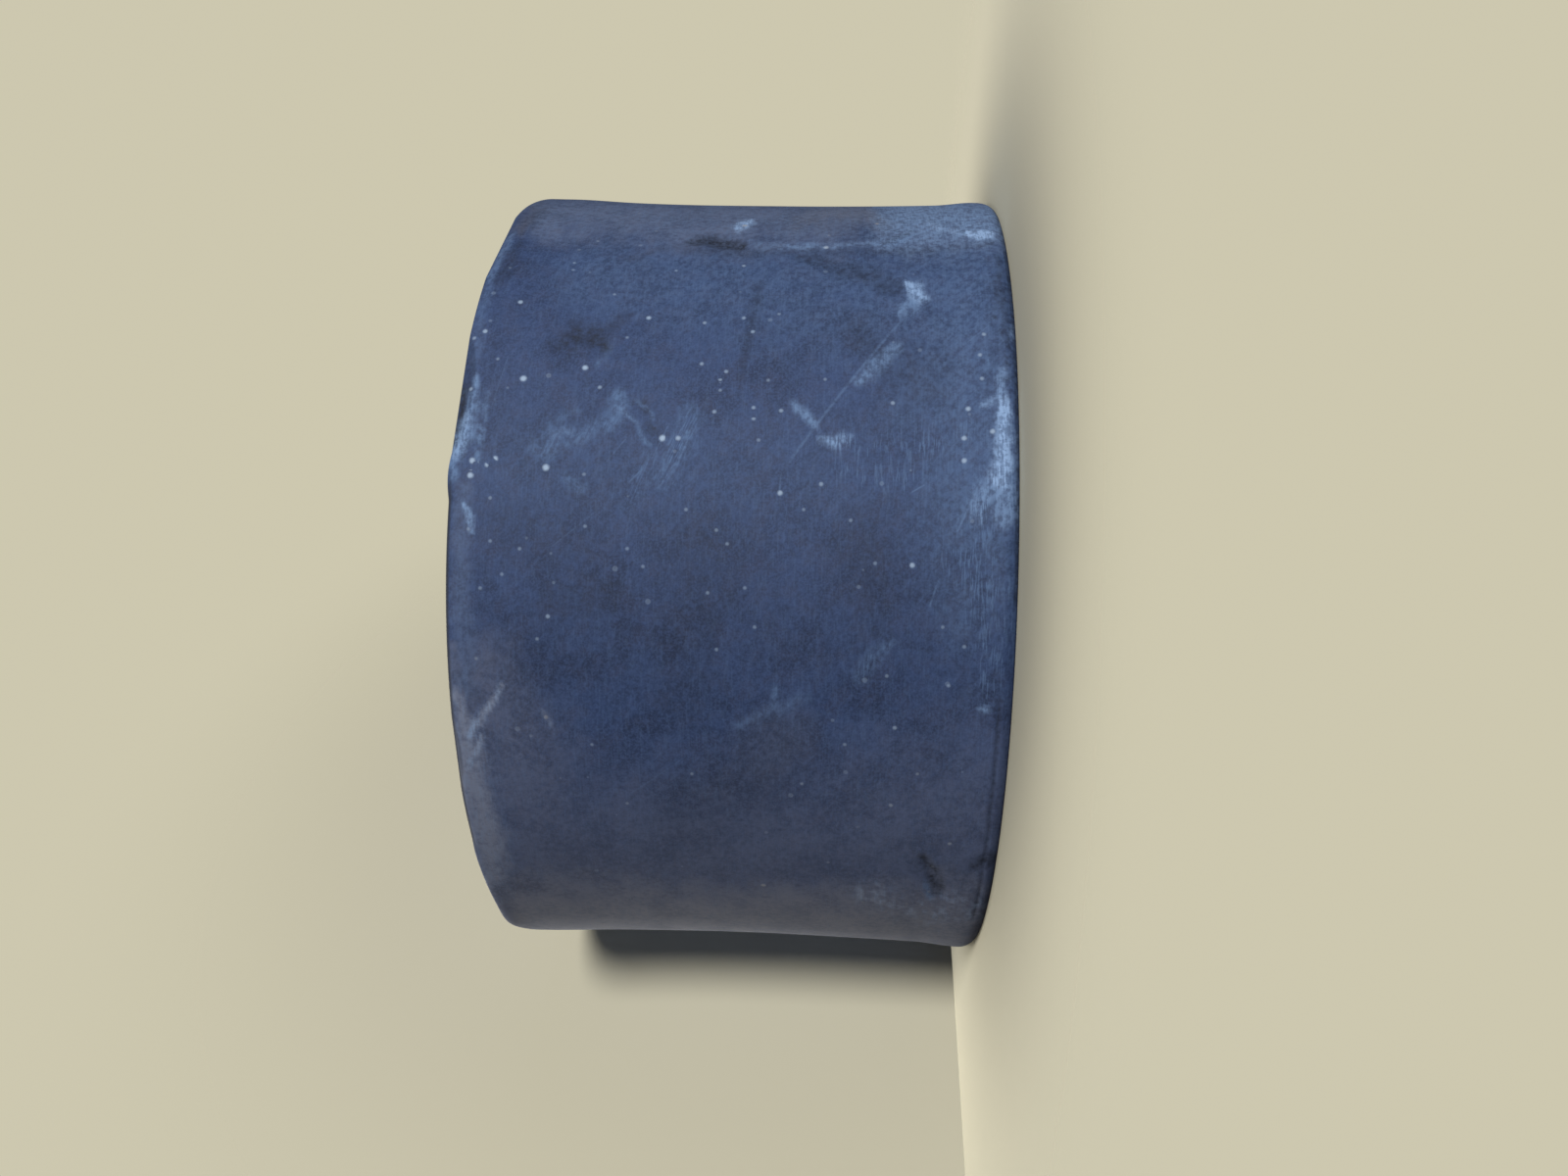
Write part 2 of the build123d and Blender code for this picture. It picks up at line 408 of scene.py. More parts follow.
def paintMarks(points, facing, s):
    pixels = toPhoto(points)
    flat = np.append(pixels, np.zeros((len(pixels), 1)), 1)
    wander = sum(share * noiseField(flat, size, seed)[:, :2] for size, seed, share in s["wander"])
    start, end = s["spotEdge"]
    spots = smooth((noiseField(flat, s["spotSize"], s["spotSeed"])[:, 0] - start) / (end - start))
    layers = {name: np.zeros(len(points)) for name in s["layers"]}
    for mark in marks.values():
        ragged = min(s["ragged"] * np.mean(mark["width"]), s["raggedMost"])
        near = nearness(pixels + ragged * wander, mark["path"], mark["width"])
        core, soft = mark.get("core", 0.0), mark.get("soft", s["soft"])
        cover = smooth((soft - near) / (soft - core)) * facing
        cover = cover * (1 - mark.get("dots", 0.0) * (1 - spots))
        for name in layers:
            layers[name] = np.maximum(layers[name], cover * mark.get(name, 0.0))
    return layers


# Specks of dust, in photograph pixels, by their radius in millimetres
specks = {
    0.17: ((760, 230), (534, 386), (557, 477), (676, 447)),
    0.15: ((480, 485), (482, 470), (505, 468), (597, 375), (779, 903), (843, 252)),
    0.13: ((662, 324), (497, 474), (692, 447), (988, 417), (984, 447), (984, 470), (531, 308), (895, 228),
           (796, 503), (931, 577), (1013, 440), (495, 338)),
    0.11: ((719, 329), (759, 324), (768, 338), (716, 371), (741, 379), (735, 387), (769, 416), (769, 427),
           (797, 419), (911, 411), (559, 629), (557, 732), (913, 743), (909, 822), (969, 861), (484, 345),
           (759, 271), (729, 420), (838, 494), (612, 395), (1000, 362), (1002, 386), (1004, 341), (480, 396)),
    0.095: ((774, 449), (722, 605), (731, 663), (490, 600), (868, 531), (597, 537), (731, 541), (742, 555),
            (784, 388), (735, 398), (795, 320), (656, 578), (700, 520), (842, 387), (640, 560), (760, 600),
            (893, 575), (770, 640), (905, 690), (862, 760), (706, 790), (640, 820), (604, 760), (845, 880),
            (890, 930), (905, 945), (925, 922), (880, 920), (940, 940), (975, 936), (986, 928), (948, 910),
            (690, 276), (610, 246), (586, 268), (508, 366), (627, 300), (640, 344), (846, 240), (585, 275),
            (500, 508), (500, 552), (512, 586), (478, 540), (486, 672), (530, 560), (596, 484), (548, 652),
            (820, 520), (962, 640), (984, 660), (968, 700), (936, 790), (818, 800), (548, 940), (640, 930)),
}

# Straight scratches from one photograph pixel to another, with half width in millimetres and strength
scratches = {
    "long scratch": ((928, 318), (796, 484), 0.09, 0.4),
    "fan scratch": ((1004, 484), (975, 546), 0.07, 0.6),
    "right tick": ((956, 596), (948, 620), 0.06, 0.4),
    "brush hair": ((707, 432), (690, 478), 0.06, 0.45),
    "second brush hair": ((695, 462), (671, 500), 0.06, 0.4),
    "third brush hair": ((684, 430), (664, 470), 0.05, 0.3),
    "left hair": ((640, 446), (618, 472), 0.05, 0.25),
    "right hair": ((929, 503), (946, 493), 0.05, 0.45),
    "low hair": ((640, 494), (656, 478), 0.06, 0.35),
    "speck tail": ((797, 480), (795, 502), 0.05, 0.35),
    "left grazing": ((520, 360), (500, 420), 0.05, 0.2),
    "centre grazing": ((610, 520), (560, 560), 0.05, 0.15),
    "low grazing": ((700, 772), (640, 812), 0.05, 0.15),
    "base grazing": ((1012, 330), (984, 352), 0.05, 0.25),
    "upper grazing": ((880, 330), (828, 360), 0.05, 0.15),
}

# How far from a speck or scratch the skin still knows of it, and how much nearer than the next one
# a speck has to be. Both are left out where less than wellSeen of the skin is photographed.
speckReach = {"looked": 9.0, "kept": 0.45, "apart": 0.25}
scratchReach = {"looked": 0.6, "kept": 0.35, "endFade": 0.12}
wellSeen = 0.5


def nearestSpeck(skin, facing):  # the nearest speck's place on the skin, and its radius if it is near
    found = np.zeros((len(skin), 3))
    first = np.full(len(skin), speckReach["looked"])
    second = first.copy()
    for size, pixels in specks.items():
        for pixel in pixels:
            place = np.array(toSkin(pixel))
            away = np.linalg.norm(skin - place, axis=1)
            closer = away < first
            second = np.minimum(second, np.maximum(away, first))
            first = np.minimum(first, away)
            found[closer] = (*place, size)
    alone = (first < speckReach["kept"]) & (second - first > speckReach["apart"]) & (facing > wellSeen)
    found[~alone, 2] = 0
    return found


def nearestScratch(skin, facing):  # signed distance to the nearest scratch, its strength, its half width
    found = np.zeros((len(skin), 3))
    nearest = np.full(len(skin), scratchReach["looked"])
    for start, end, width, strength in scratches.values():
        a, b = np.array(toSkin(start)), np.array(toSkin(end))
        run = b - a
        length = np.linalg.norm(run)
        fromMiddle = np.abs((skin - a) @ run / length ** 2 - 0.5)
        aside = (skin - a) @ np.array([-run[1], run[0]]) / length
        reach = np.abs(aside) + np.clip(fromMiddle - 0.5, 0, None) * length
        fade = smooth((0.5 - fromMiddle) / scratchReach["endFade"])
        fade = fade * (facing > wellSeen) * (reach < scratchReach["kept"])
        here = reach < nearest
        nearest = np.where(here, reach, nearest)
        found[here] = np.column_stack([aside, strength * fade, np.full(len(skin), width)])[here]
    return found


def skinGrid(s):  # angles of the columns and heights of the rows
    front = np.arange(-s["frontHalfAngle"], s["frontHalfAngle"], s["frontStep"])
    back = np.arange(s["frontHalfAngle"], 360 - s["frontHalfAngle"], s["backStep"])
    edge = np.arange(0, s["edgeBand"] + s["edgeStep"] / 2, s["edgeStep"])
    inner = np.arange(edge[-1] + s["rowStep"], topHeight - edge[-1] - s["rowStep"] / 2, s["rowStep"])
    heights = np.concatenate([edge, inner, (topHeight - edge)[::-1]])
    return np.radians(np.concatenate([front, back])), heights


def inSpace(around, radius, height):  # where points of the side are in the foot's frame
    return np.column_stack([around * radius[:, None], height])


def mouldedRadius(angle, around, height, s):  # slightly uneven, except at the end faces, with swells
    radius = sideRadius(height, s)
    hold = smooth(np.minimum(height, topHeight - height) / s["evenEnds"])
    wave = noiseField(inSpace(around, radius, height), s["unevenSize"], s["unevenSeed"])[:, 0]
    radius = radius + s["unevenness"] * hold * (wave - s["unevenShift"])
    for direction, middleHeight, spread, tall, depth in swells.values():
        away = (np.degrees(angle) - direction) / spread
        radius = radius + depth * np.exp(-away ** 2 - ((height - middleHeight) / tall) ** 2)
    return radius


def photographedShare(angle, place, s):  # 1 where the photograph shows the side, 0 past a ragged line
    hidden, shown = s["fadeCosines"]
    ragged = s["fadeRagged"] * noiseField(place, s["fadeSize"], s["fadeSeed"])[:, 0]
    return smooth((np.cos(angle) + ragged - hidden) / (shown - hidden))


def trimTopEdge(angle, height, radius):  # the knife strokes, then the narrow chamfer
    black = np.zeros(len(radius))
    reach = strokeSettings["reachCosine"]
    for direction, inset, drop, blackness in knifeStrokes.values():
        turned = np.cos(angle - math.radians(direction))
        plane = rimRadius - 2 * inset + inset * (topHeight + drop - height) / drop
        limit = np.where(turned > reach, plane / np.maximum(turned, reach), np.inf)
        taken = np.clip(radius - limit, 0, None)
        black = np.maximum(black, blackness * smooth(taken / strokeSettings["blackDepth"]))
        radius = radius - taken
    into = np.clip(height - topHeight + trimSettings["tall"], 0, None)
    trimmed = between(angle, trimSettings["angles"])
    fullBlack = trimSettings["tall"] / 2
    black = np.maximum(black, trimSettings["black"] * trimmed * smooth(into / fullBlack))
    return radius - into * trimSettings["slope"] * trimmed, black


def shapeBaseEdge(angle, height, radius):  # the groove behind the base lip, and the painted shade in it and along the base edge
    groove, edge = grooveSettings, baseEdgeSettings
    across = (height - groove["height"]) / groove["halfWidth"]
    inGroove = np.exp(-across ** 2) * between(angle, groove["angles"])
    onEdge = smooth((edge["height"] - height) / edge["height"] * 2) * between(angle, edge["angles"])
    shade = np.maximum(groove["shade"] * inGroove, edge["shade"] * onEdge)
    return radius - groove["depth"] * inGroove, shade


def endRings(angles, turn, baseRadius, topRadius, s):  # rings of points on the end faces, edge inwards
    sway = (angles - math.radians(flapSettings["angle"])) * rimRadius / flapSettings["halfLength"]
    hump = flapSettings["tall"] * np.clip(1 - sway ** 2, 0, None)
    onBase, onTop = [], []
    for ring in s["faceRings"]:
        inside = 1 - ring / rimRadius
        inFlap = flapSettings["outer"] < ring < flapSettings["inner"]
        onBase.append(inSpace(turn, baseRadius * inside, np.zeros(len(angles))))
        onTop.append(inSpace(turn, topRadius * inside, topHeight + hump * inFlap))
    return onBase[::-1], onTop


def skinFaces(count, rows):  # squares between the rows of points, then a fan round each end's centre
    faces = []
    for row in range(rows - 1):
        a, b = row * count, (row + 1) * count
        faces += [(a + i, a + (i + 1) % count, b + (i + 1) % count, b + i) for i in range(count)]
    baseCentre, topCentre, last = rows * count, rows * count + 1, (rows - 1) * count
    faces += [(baseCentre, (i + 1) % count, i) for i in range(count)]
    faces += [(topCentre, last + i, last + (i + 1) % count) for i in range(count)]
    return faces


def overEnds(values, count, s):  # a layer of the side, carried a little way over the edge of either face
    if values.ndim == 2:
        rings = np.zeros((len(s["faceRings"]) * count, 3))
        return np.concatenate([rings, values, rings, np.zeros((2, 3))])
    shares = [max(0.0, 1 - ring / flapSettings["inner"]) for ring in s["faceRings"]]
    onBase = [values[:count] * share for share in shares[::-1]]
    onTop = [values[-count:] * share for share in shares]
    return np.concatenate(onBase + [values] + onTop + [np.zeros(2)])


def makeSkin(s):
    angles, heights = skinGrid(s)
    count, rows = len(angles), len(heights)
    angle, height = [grid.ravel() for grid in np.meshgrid(angles, heights)]
    around = np.stack([np.sin(angle), -np.cos(angle)], 1)
    radius = mouldedRadius(angle, around, height, s)
    place = inSpace(around, radius, height)
    facing = photographedShare(angle, place, s)
    layers = paintMarks(place, facing, paintSettings)
    radius = radius - layers.pop("dent")
    radius, layers["cut"] = trimTopEdge(angle, height, radius)
    # the painted shade of the groove and base edge joins the shade layer
    radius, edgeShade = shapeBaseEdge(angle, height, radius)
    layers["shade"] = np.maximum(layers["shade"], edgeShade)
    layers["photographed"] = facing
    skin = np.column_stack([angle * rimRadius, height])
    layers["speck"] = nearestSpeck(skin, facing)
    layers["scratch"] = nearestScratch(skin, facing)

    side = inSpace(around, radius, height)
    onBase, onTop = endRings(angles, around[:count], radius[:count], radius[-count:], s)
    centres = np.array([[0, 0, 0], [0, 0, topHeight]])
    points = np.concatenate(onBase + [side] + onTop + [centres])
    layers = {name: overEnds(values, count, s) for name, values in layers.items()}
    before = len(onBase) * count
    layers["ends"] = np.ones(len(points))
    layers["ends"][before:before + len(side)] = 0
    return points, skinFaces(count, rows + len(onBase) + len(onTop)), layers


def makeFoot(points, faces, layers):
    mesh = bpy.data.meshes.new("foot_rubber")
    mesh.from_pydata((points * mm).tolist(), [], faces)
    mesh.polygons.foreach_set("use_smooth", np.ones(len(mesh.polygons), bool))
    for name, values in layers.items():
        kind, field = ("FLOAT", "value") if values.ndim == 1 else ("FLOAT_VECTOR", "vector")
        painted = mesh.attributes.new(name, kind, "POINT")
        painted.data.foreach_set(field, values.astype(np.float32).ravel())
    mesh.update()
    return addObject("foot_rubber", mesh)


points, faces, layers = makeSkin(skinSettings)
print("skin laid out:", len(points), "points,", len(faces), "faces")
foot = makeFoot(points, faces, layers)


# Shader maths: a Wire is a socket that takes part in sums, so 1 - mask adds a Math node
class Wire:
    def __init__(self, material, socket):
        self.material = material
        self.socket = socket

    def maths(self, operation, *values):
        return self.material.node("ShaderNodeMath", {"operation": operation}, dict(enumerate(values)))

    def __add__(self, other):
        return self.maths("ADD", self, other)

    def __radd__(self, other):
        return self.maths("ADD", other, self)

    def __sub__(self, other):
        return self.maths("SUBTRACT", self, other)

    def __rsub__(self, other):
        return self.maths("SUBTRACT", other, self)

    def __mul__(self, other):
        return self.maths("MULTIPLY", self, other)

    def __truediv__(self, other):
        return self.maths("DIVIDE", self, other)

    def also(self, out):  # another output of the same node
        return Wire(self.material, self.socket.node.outputs[out])

    def most(self, other):
        return self.maths("MAXIMUM", self, other)

    def ramp(self, start, end, low=0.0, high=1.0):  # a smooth step from low to high
        settings = {"interpolation_type": "SMOOTHSTEP"}
        sockets = {0: self, 1: start, 2: end, 3: low, 4: high}
        return self.material.node("ShaderNodeMapRange", settings, sockets)


class Finish:  # one material, and the only method that adds a node to it
    def __init__(self, name, tree=None):
        if tree is None:
            self.data = bpy.data.materials.new(name)
            self.data.use_nodes = True
            tree = self.data.node_tree
        self.tree = tree
        self.tree.nodes.clear()

    def node(self, kind, settings=None, sockets=None, out=0):
        made = self.tree.nodes.new(kind)
        for name, value in (settings or {}).items():
            setattr(made, name, value)
        for name, value in (sockets or {}).items():
            if isinstance(value, Wire):
                self.tree.links.new(value.socket, made.inputs[name])
            else:
                made.inputs[name].default_value = value
        return Wire(self, made.outputs[out]) if len(made.outputs) else made

    def blend(self, amount, first, second):
        settings = {"data_type": "RGBA", "clamp_factor": True}
        return self.node("ShaderNodeMix", settings, {0: amount, 6: first, 7: second}, 2)

    def painted(self, name, out="Fac"):  # a layer that the mesh holds
        return self.node("ShaderNodeAttribute", {"attribute_name": name}, None, out)

    def vector(self, operation, first, second, out=0):
        return self.node("ShaderNodeVectorMath", {"operation": operation}, {0: first, 1: second}, out)

    def grain(self, place, size, detail, rough):  # noise, about 0.3 to 0.7, with patches of a size
        sockets = {"Vector": place, "Scale": 1 / size, "Detail": detail, "Roughness": rough}
        return self.node("ShaderNodeTexNoise", None, sockets)

    def stretched(self, place, turn, along, across):  # coordinates for lines: turned, then squeezed
        sockets = {"Vector": place, "Angle": math.radians(turn)}
        turned = self.node("ShaderNodeVectorRotate", {"rotation_type": "Z_AXIS"}, sockets)
        return self.vector("DIVIDE", turned, (along, across, 1.0))


def mixture(parts, wires):  # the named wires added up, each by its part
    added = [wires[name] * part for name, part in parts.items()]
    return sum(added[1:], added[0])


def linear(red, green, blue):  # a screen colour, 0 to 255, as the shader's linear one
    def one(level):
        level = level / 255
        return level / 12.92 if level <= 0.04045 else ((level + 0.055) / 1.055) ** 2.4
    return (one(red), one(green), one(blue), 1.0)


# The rubber's colours as they look on screen, and how much of each covers what is under it. A grain
# is its patch size in millimetres, detail and roughness. Lines are their angle, length and width, and
# parts say how patterns are added up.
rubberSettings = {
    "rubber": linear(51, 71, 112),
    "dark": linear(38, 53, 86),
    "violet": linear(63, 72, 104),
    "light": linear(70, 92, 138),
    # haze, chalk and film also colour painted light, and bare the painted shade
    "haze": linear(98, 126, 168),
    "chalk": linear(154, 185, 228),
    "film": linear(123, 128, 148),
    "bare": linear(30, 36, 50),
    "fresh": linear(21, 25, 35),
    "speck": linear(168, 190, 218),
    "grit": linear(150, 152, 162),
    "cover": {"film": 0.7, "hatch": 0.4, "haze": 0.85, "shade": 0.75, "chalk": 0.85, "speckGrit": 1.6},
    "cloudGrain": (9.0, 4.0, 0.55),
    "mottleGrain": (2.6, 4.0, 0.6),
    "tintGrain": (0.9, 3.0, 0.55),
    "fineGrain": (0.3, 3.0, 0.65),
    "dustGrain": (0.11, 2.0, 0.5),
    "crumpleGrain": (0.5, 2.0, 0.6),
    "hatchSize": (1.0, 1.0, 0.1),
    "hatchGrain": (1.0, 2.0, 0.6),
    "otherHazeSize": (3.2, 3.2, 1.8),
    "otherHazeGrain": (1.0, 4.0, 0.65),
    "brushLines": (38.0, 2.2, 0.26),
    "brushGrain": (1.0, 3.0, 0.6),
    "hairLines": (20.0, 1.9, 0.11),
    "hairGrain": (1.0, 2.0, 0.6),
    "seamFade": 4.0,
    "sprinkleSize": 1.5,
    "speckRaggedness": 0.06,
    "thinnest": 0.01,
    "gritParts": {"fine": 0.65, "brush": 0.35},
    "chalkParts": {"fine": 0.5, "dust": 0.2, "hatch": 0.3},
    "filmParts": {"mottle": 0.5, "fine": 0.5},
    "roughness": 0.66,
    "roughParts": {"fine": 0.14, "hazeShown": 0.08, "chalkShown": 0.08, "cut": 0.2, "ends": 0.12},
    "bumpParts": {"fine": 0.4, "dust": 0.15, "hatchShown": 0.3, "brush": 0.3, "chalkShown": 0.25,
                  "mottle": 0.8, "speckShown": 0.6, "crumpled": 2.0, "scratchShown": -0.5},
    "bumpDepth": 0.022,
    "gloss": 0.45,
}

# Where on a pattern something starts and is full, then its strength at either if not 0 and 1
rubberCurves = {
    "rubber": (0.38, 0.62),
    "rubberCloud": (0.42, 0.6, 0.0, 0.4),
    "violet": (0.46, 0.62, 0.0, 0.35),
    "darkFine": (0.46, 0.36, 0.0, 0.4),
    "darkTint": (0.46, 0.34, 0.0, 0.25),
    "lightDust": (0.4, 0.64, 0.0, 0.4),
    "lightFine": (0.5, 0.66, 0.0, 0.3),
    "lightBrush": (0.5, 0.68, 0.0, 0.2),
    "haze": (0.4, 0.58, 0.4, 1.25),
    "hazeHatch": (0.56, 0.46, 0.0, 0.75),
    "hazeHair": (0.56, 0.46, 0.0, 0.85),
    "chalk": (0.42, 0.58, 0.45, 1.25),
    "chalkHatch": (0.54, 0.44, 0.0, 0.8),
    "hatch": (0.52, 0.62),
    "shade": (0.34, 0.62, 1.2, 0.7),
    "shadeWrinkle": (0.44, 0.58, 0.0, 0.9),
    "film": (0.36, 0.6, 0.6, 1.2),
    "speckEdge": (1.3, 0.3),
    "speckSize": (0.07, 0.16, 0.2, 1.0),
    "scratchEdge": (1.2, 0.2),
    "scratchBreaks": (0.34, 0.58, 0.35, 1.1),
    "sprinklePick": (0.2, 1.0, 0.0, 0.05),
    "sprinkle": (0.055, 0.02, 0.0, 0.6),
    "otherHaze": (0.53, 0.74, 0.0, 0.8),
    "otherShade": (0.44, 0.34, 0.0, 0.4),
    "otherHair": (0.62, 0.72, 0.0, 0.5),
    "otherHairPatch": (0.48, 0.58),
}

# Marks everywhere, then how much stronger they are where the photograph shows nothing
everywhere = {"hatch": 0.25, "sprinkle": 0.3}
unseenMore = {"hatch": 0.1, "sprinkle": 0.9, "hair": 0.6, "film": 0.4, "brush": 0.6, "chalkOfHaze": 0.2}


def makeRubber(s, curves):
    m = Finish("blackRubber")
    place = m.vector("MULTIPLY", m.node("ShaderNodeTexCoord", None, None, "Object"), (1 / mm,) * 3)
    x = m.node("ShaderNodeSeparateXYZ", None, {0: place})
    aroundRim = x.maths("ARCTAN2", x, 0 - x.also(1)) * rimRadius
    onSide = m.node("ShaderNodeCombineXYZ", None, {0: aroundRim, 1: x.also(2)})
    ends = m.painted("ends")
    skin = m.node("ShaderNodeMix", {"data_type": "VECTOR"}, {0: ends, 4: onSide, 5: place}, 1)
    unseen = 1 - m.painted("photographed")
    halfRound = math.pi * rimRadius
    seam = x.maths("ABSOLUTE", aroundRim).ramp(halfRound - s["seamFade"], halfRound) * (1 - ends)

    def grain(kind, over=place):
        return m.grain(over, *s[kind + "Grain"])

    def lines(kind):  # noise in lines, faded to its mean at the back, where the angle jumps
        field = grain(kind, m.stretched(skin, *s[kind + "Lines"]))
        return 0.5 + (field - 0.5) * (1 - seam)

    cloud, mottle, tint = grain("cloud"), grain("mottle"), grain("tint")
    fine, dust, crumple = grain("fine"), grain("dust"), grain("crumple")
    hatchLines = grain("hatch", m.vector("DIVIDE", place, s["hatchSize"]))
    brushLines, hairLines = lines("brush"), lines("hair")
    wires = {"mottle": mottle, "fine": fine, "dust": dust, "brush": brushLines, "hatch": hatchLines}

    # Painted marks, and marks over the parts that the photograph doesn't show. Haze, chalk and film
    # also hold painted light, and shade holds painted shade at the groove and base edge
    otherHaze = grain("otherHaze", m.vector("DIVIDE", place, s["otherHazeSize"]))
    otherHaze = otherHaze.ramp(*curves["otherHaze"]) * unseen
    haze = m.painted("haze").most(otherHaze)
    chalk = m.painted("chalk").most(otherHaze * unseenMore["chalkOfHaze"])
    shade = m.painted("shade").most(cloud.ramp(*curves["otherShade"]) * unseen)
    hatch = m.painted("hatch").most(everywhere["hatch"] + unseen * unseenMore["hatch"])
    hair = m.painted("hair").most(unseen * unseenMore["hair"])
    film = m.painted("film").most(unseen * unseenMore["film"])
    wrinkle = m.painted("wrinkle")
    cut = m.painted("cut")

    # Each mark broken up by the grain that it lies on
    hazeShown = haze * mixture(s["gritParts"], wires).ramp(*curves["haze"])
    hazeShown = hazeShown * (1 - hatch * hatchLines.ramp(*curves["hazeHatch"]))
    hazeShown = hazeShown * (1 - hair * hairLines.ramp(*curves["hazeHair"]))
    chalkShown = chalk * mixture(s["chalkParts"], wires).ramp(*curves["chalk"])
    chalkShown = chalkShown * (1 - hatch * hatchLines.ramp(*curves["chalkHatch"]))
    hatchShown = hatch * hatchLines.ramp(*curves["hatch"])
    shadeShown = shade * fine.ramp(*curves["shade"]) * (1 - wrinkle * crumple.ramp(*curves["shadeWrinkle"]))
    filmShown = film * mixture(s["filmParts"], wires).ramp(*curves["film"])

    # Specks and scratches, from what the mesh holds about the nearest one
    speckAt = m.node("ShaderNodeSeparateXYZ", None, {0: m.painted("speck", "Vector")})
    speckPlace = m.node("ShaderNodeCombineXYZ", None, {0: speckAt, 1: speckAt.also(1)})
    speckRadius = speckAt.also(2)
    away = m.vector("DISTANCE", onSide, speckPlace, "Value") + (dust - 0.5) * s["speckRaggedness"]
    speckShown = (away / speckRadius.most(s["thinnest"])).ramp(*curves["speckEdge"])
    speckShown = speckShown * speckRadius.ramp(*curves["speckSize"])
    aside = m.node("ShaderNodeSeparateXYZ", None, {0: m.painted("scratch", "Vector")})
    scratchLine = x.maths("ABSOLUTE", aside) / aside.also(2).most(s["thinnest"])
    scratchShown = scratchLine.ramp(*curves["scratchEdge"]) * aside.also(1)
    scratchShown = scratchShown * fine.ramp(*curves["scratchBreaks"])
    otherHair = hairLines.ramp(*curves["otherHair"]) * mottle.ramp(*curves["otherHairPatch"])
    scratchShown = scratchShown + otherHair * unseen

    # A sprinkling of the finest dust, a dot in some of the cells
    cells = {"Vector": place, "Scale": 1 / s["sprinkleSize"], "Randomness": 1.0}
    sprinkle = m.node("ShaderNodeTexVoronoi", {"feature": "F1"}, cells)
    pick = m.node("ShaderNodeSeparateXYZ", None, {0: sprinkle.also(1)})
    sprinkleShown = (sprinkle - pick.ramp(*curves["sprinklePick"])).ramp(*curves["sprinkle"])
    sprinkleShown = sprinkleShown * (everywhere["sprinkle"] + unseen * unseenMore["sprinkle"])

    # Coats of colour, each over the ones before
    cover = s["cover"]
    brushed = brushLines.ramp(*curves["lightBrush"]) * (1 + unseen * unseenMore["brush"])
    coats = (
        (mottle.ramp(*curves["rubber"]), s["rubber"]),
        (cloud.ramp(*curves["rubberCloud"]), s["rubber"]),
        (tint.ramp(*curves["violet"]), s["violet"]),
        (fine.ramp(*curves["darkFine"]) + tint.ramp(*curves["darkTint"]), s["dark"]),
        (dust.ramp(*curves["lightDust"]), s["light"]),
        (fine.ramp(*curves["lightFine"]) + brushed, s["light"]),
        (filmShown * cover["film"], s["film"]),
        (hatchShown * cover["hatch"], s["haze"]),
        (hazeShown * cover["haze"], s["haze"]),
        (shadeShown * cover["shade"], s["bare"]),
        (scratchShown, s["haze"]),
        (chalkShown * cover["chalk"], s["chalk"]),
        (cut, s["fresh"]),
        (sprinkleShown, m.blend(film, s["speck"], s["grit"])),
        (speckShown, m.blend(film * cover["speckGrit"], s["speck"], s["grit"])),
    )
    colour = s["dark"]
    for amount, coat in coats:
        colour = m.blend(amount, colour, coat)

    wires.update(hazeShown=hazeShown, chalkShown=chalkShown, hatchShown=hatchShown, cut=cut, ends=ends,
                 speckShown=speckShown, scratchShown=scratchShown, crumpled=wrinkle * crumple)
    rough = s["roughness"] + mixture(s["roughParts"], wires)
    relief = {"Strength": 1.0, "Distance": s["bumpDepth"] * mm, "Height": mixture(s["bumpParts"], wires)}
    bump = m.node("ShaderNodeBump", None, relief)
    sockets = {"Base Color": colour, "Roughness": rough, "Normal": bump, "Specular IOR Level": s["gloss"]}
    shader = m.node("ShaderNodeBsdfPrincipled", None, sockets)
    m.node("ShaderNodeOutputMaterial", None, {"Surface": shader})
    return m.data


foot.data.materials.append(makeRubber(rubberSettings, rubberCurves))
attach(foot, "root")
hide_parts("rubber_foot")
print("foot made")


# Stage: a pale floor under the foot, and a pale card against its side where the photograph's table
# was. Both fade into a background of their own colour, and the card is clear from behind. A bounce
# is the colour of the light that they throw back.
stageSettings = {
    "background": (0.61, 0.575, 0.43, 1.0),
    "floorPale": (0.84, 0.79, 0.6, 1.0),
    "cardPale": (0.7, 0.66, 0.5, 1.0),
    "floorBounce": (0.08, 0.076, 0.068, 1.0),
    "cardBounce": (0.86, 0.83, 0.75, 1.0),
    "cardElevation": 37.8,
    "cardGap": 0.03,
    "floorFade": (24.0, 48.0),
    "cardFade": (22.0, 52.0),
    "reach": 200.0,
}


def makeStageFinish(name, fade, colour, bounce):
    m = Finish(name)
    place = m.node("ShaderNodeTexCoord", None, None, "Object")
    far = m.node("ShaderNodeVectorMath", {"operation": "LENGTH"}, {0: place}, "Value") / mm
    shown = far.ramp(*fade, 1.0, 0.0)
    shown = shown * (1 - m.node("ShaderNodeNewGeometry", None, None, "Backfacing"))
    seen = m.node("ShaderNodeLightPath", None, None, "Is Camera Ray")
    lit = m.node("ShaderNodeBsdfDiffuse", None, {"Color": m.blend(seen, bounce, colour)})
    clear = m.node("ShaderNodeBsdfTransparent")
    mixed = m.node("ShaderNodeMixShader", None, {0: shown, 1: clear, 2: lit})
    m.node("ShaderNodeOutputMaterial", None, {"Surface": mixed})
    return m.data


def makeCard(name, centre, across, up, below, reach, material):  # a flat sheet round its centre
    corners = ((-reach, -below), (reach, -below), (reach, reach), (-reach, reach))
    card = bpy.data.meshes.new(name)
    card.from_pydata([(across * aside + up * rise) * mm for aside, rise in corners], [], [(0, 1, 2, 3)])
    card.materials.append(material)
    made = addObject(name, card)
    made.location = centre * mm
    return made


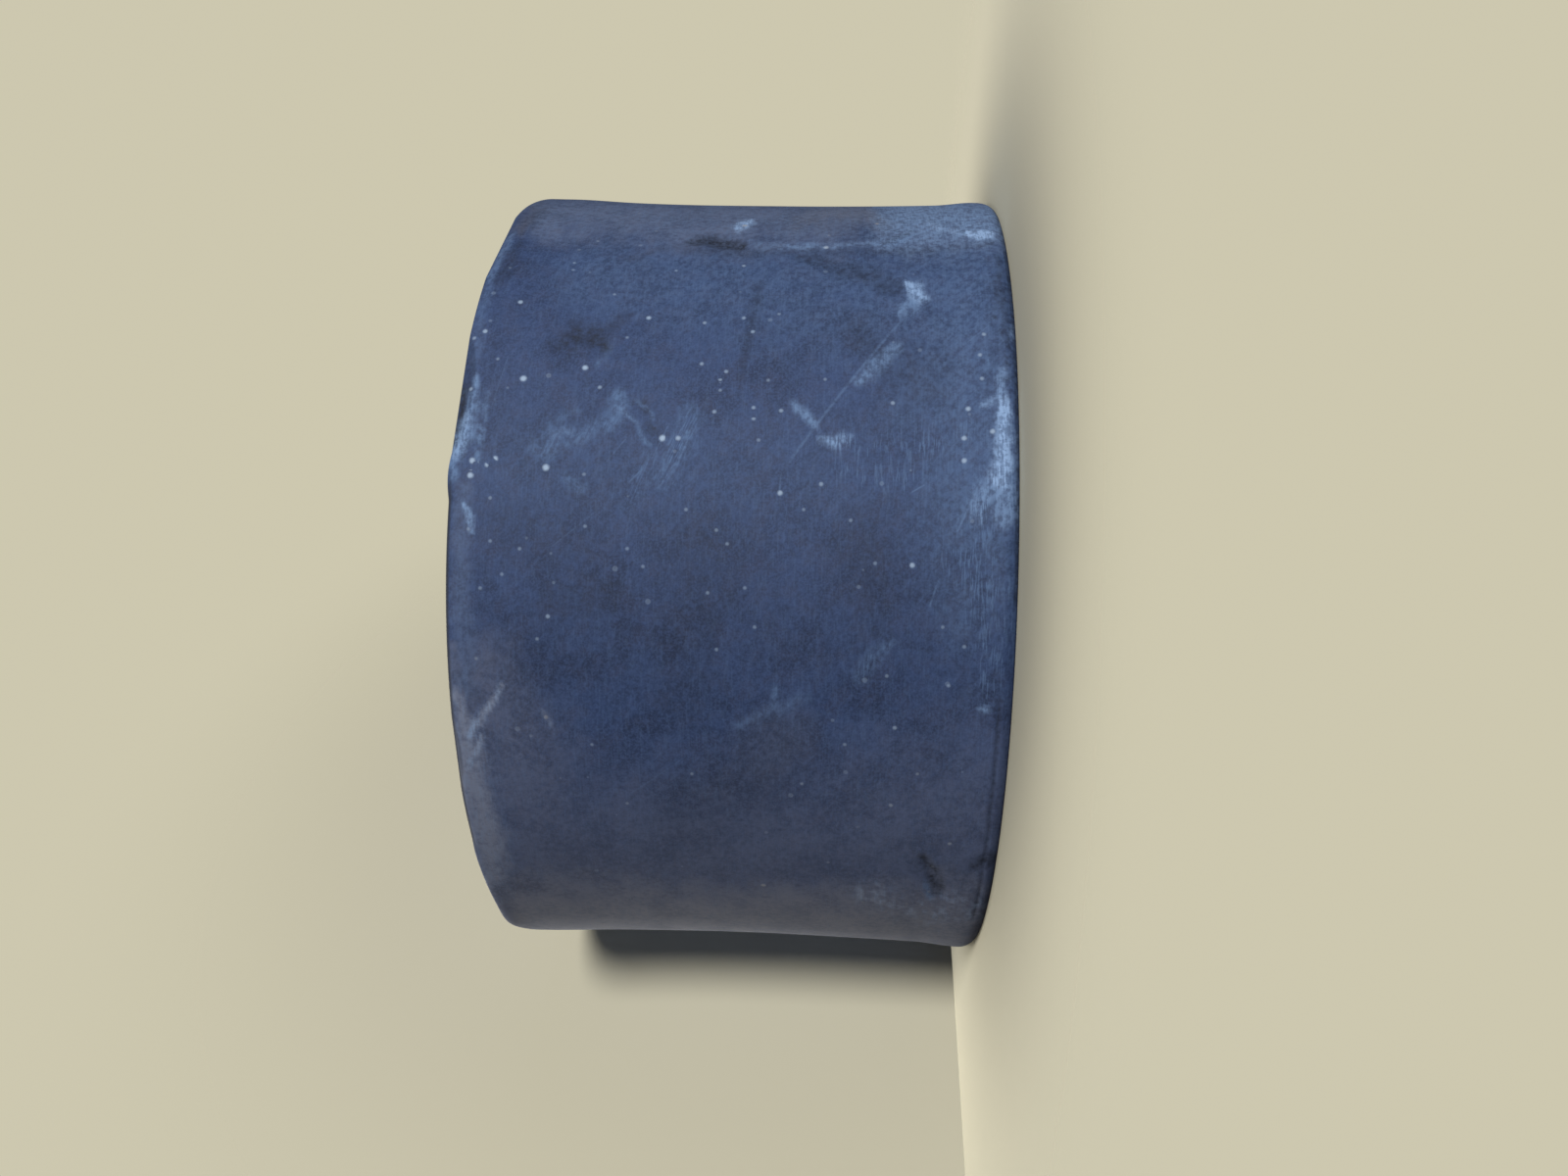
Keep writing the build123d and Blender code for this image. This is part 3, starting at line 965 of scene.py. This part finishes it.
def makeStage(s):
    rise = math.radians(s["cardElevation"])
    facing = Vector((math.cos(rise), -math.sin(rise), 0))
    up = Vector((0, 0, 1))
    floorFinish = makeStageFinish("floorPale", s["floorFade"], s["floorPale"], s["floorBounce"])
    cardFinish = makeStageFinish("cardPale", s["cardFade"], s["cardPale"], s["cardBounce"])
    contact = facing * -(rimRadius + s["cardGap"]) + up * topHeight / 2
    reach = s["reach"]
    makeCard("floor", Vector((0, 0, 0)), Vector((1, 0, 0)), Vector((0, 1, 0)), reach, reach, floorFinish)
    card = makeCard("backCard", contact, up.cross(facing), up, topHeight / 2, reach, cardFinish)
    card.visible_shadow = False


makeStage(stageSettings)

lampSettings = {
    "keyLamp": {"towards": (0.45, -0.89, 0.27), "size": 120.0, "power": 2.0},
    "overheadLamp": {"towards": (-0.08, 0.42, 1.0), "size": 400.0, "power": 1.0},
    "rearLamp": {"towards": (-0.3, 0.85, 0.4), "size": 500.0, "power": 1.3},
}
allLamps = {"away": 500.0, "softWhite": (1.0, 0.99, 0.97)}
worldSettings = {"light": (0.92, 0.95, 1.0, 1.0), "strength": 0.06}


def makeLamp(name, s, shared):
    lamp = addObject(name, bpy.data.lights.new(name, "AREA"))
    direction = Vector(s["towards"]).normalized()
    lamp.data.shape = "DISK"
    lamp.data.size = s["size"] * mm
    lamp.data.energy = s["power"]
    lamp.data.color = shared["softWhite"]
    turn = direction.to_track_quat("Z", "Y").to_matrix().to_4x4()
    lamp.matrix_world = Matrix.Translation(direction * shared["away"] * mm) @ turn


def makeWorld(s, pale):  # a faint light all round, and the background that the camera sees
    world = bpy.data.worlds.new("studio")
    bpy.context.scene.world = world
    world.use_nodes = True
    m = Finish("studio", world.node_tree)
    path = m.node("ShaderNodeLightPath", None, None, "Is Camera Ray")
    light = m.node("ShaderNodeBackground", None, {"Color": s["light"], "Strength": s["strength"]})
    seen = m.node("ShaderNodeBackground", None, {"Color": pale, "Strength": 1.0})
    mixed = m.node("ShaderNodeMixShader", None, {0: path, 1: light, 2: seen})
    m.node("ShaderNodeOutputWorld", None, {"Surface": mixed})


for name, settings in lampSettings.items():
    makeLamp(name, settings, allLamps)
makeWorld(worldSettings, stageSettings["background"])
bpy.context.scene.view_settings.view_transform = "Standard"
print("stage and lamps made")
